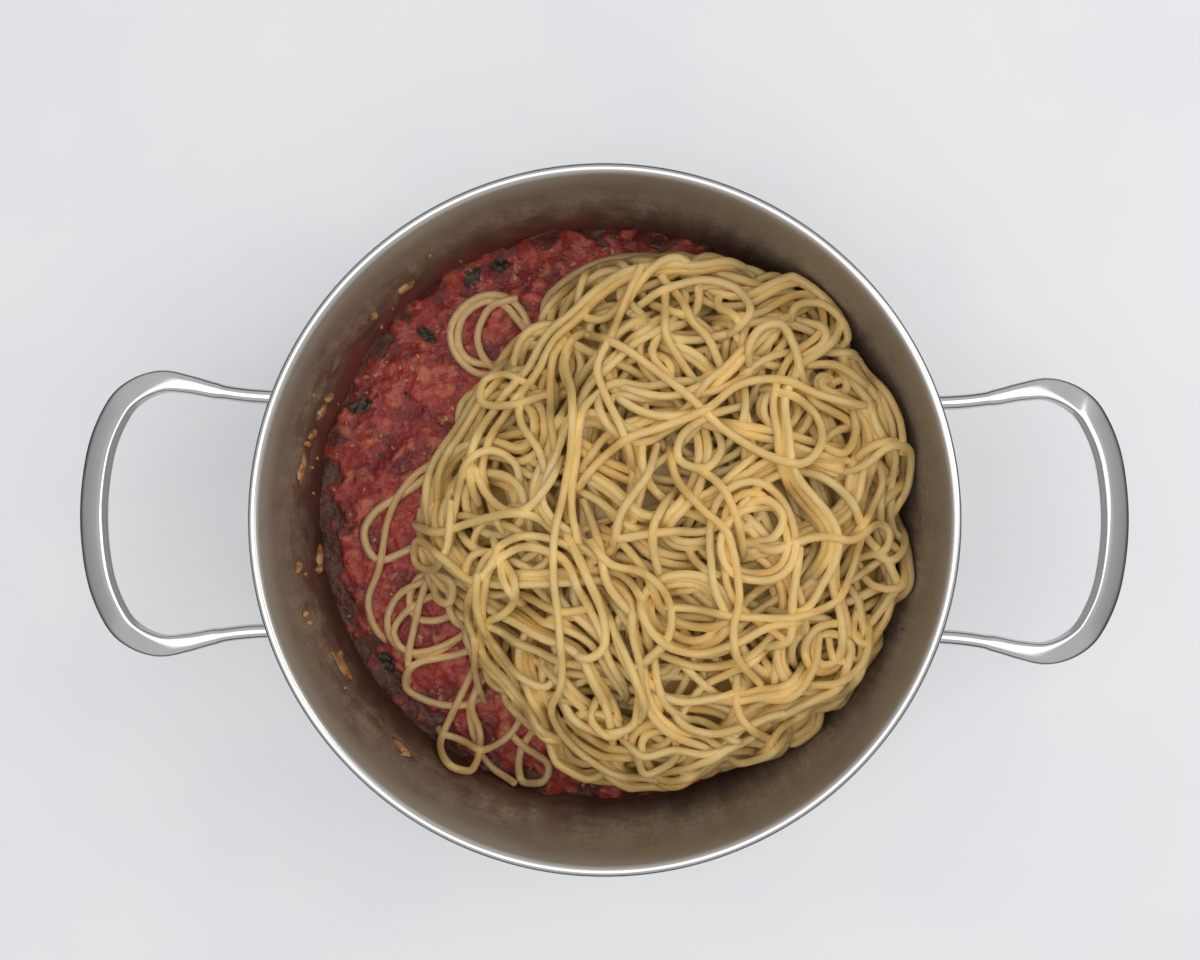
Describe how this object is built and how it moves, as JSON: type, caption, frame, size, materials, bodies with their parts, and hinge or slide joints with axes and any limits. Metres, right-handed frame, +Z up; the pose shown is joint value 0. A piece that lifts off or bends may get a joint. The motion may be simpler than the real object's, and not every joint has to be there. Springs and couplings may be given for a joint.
{
  "type": "pot of spaghetti with tomato sauce",
  "caption": "Low two-handled steel cooking pot with a heap of cooked spaghetti tipped onto chopped tomato sauce.",
  "frame": {"origin": "middle of the underside of the pot's flat foot", "axes": "+X through the middle of the right handle, +Y away from the viewer, +Z up out of the pot"},
  "size_m": [0.3742, 0.24, 0.11],
  "materials": {
    "steel": "satin, cooked with, fond stains inside",
    "polished_steel": "polished stainless steel",
    "sauce": "wet chopped tomato",
    "pasta": "moist cooked wheat noodle",
    "onion": "fried onion, oily",
    "herb": "wilted basil"
  },
  "bodies": {
    "root": {"pot_body": "steel", "handle_right": "polished_steel", "handle_left": "polished_steel", "tomato_sauce": "sauce", "spaghetti_heap": "pasta", "basil_leaf_1": "herb", "basil_leaf_2": "herb", "basil_leaf_3": "herb", "basil_leaf_4": "herb", "basil_leaf_5": "herb"}
  },
  "joints": []
}
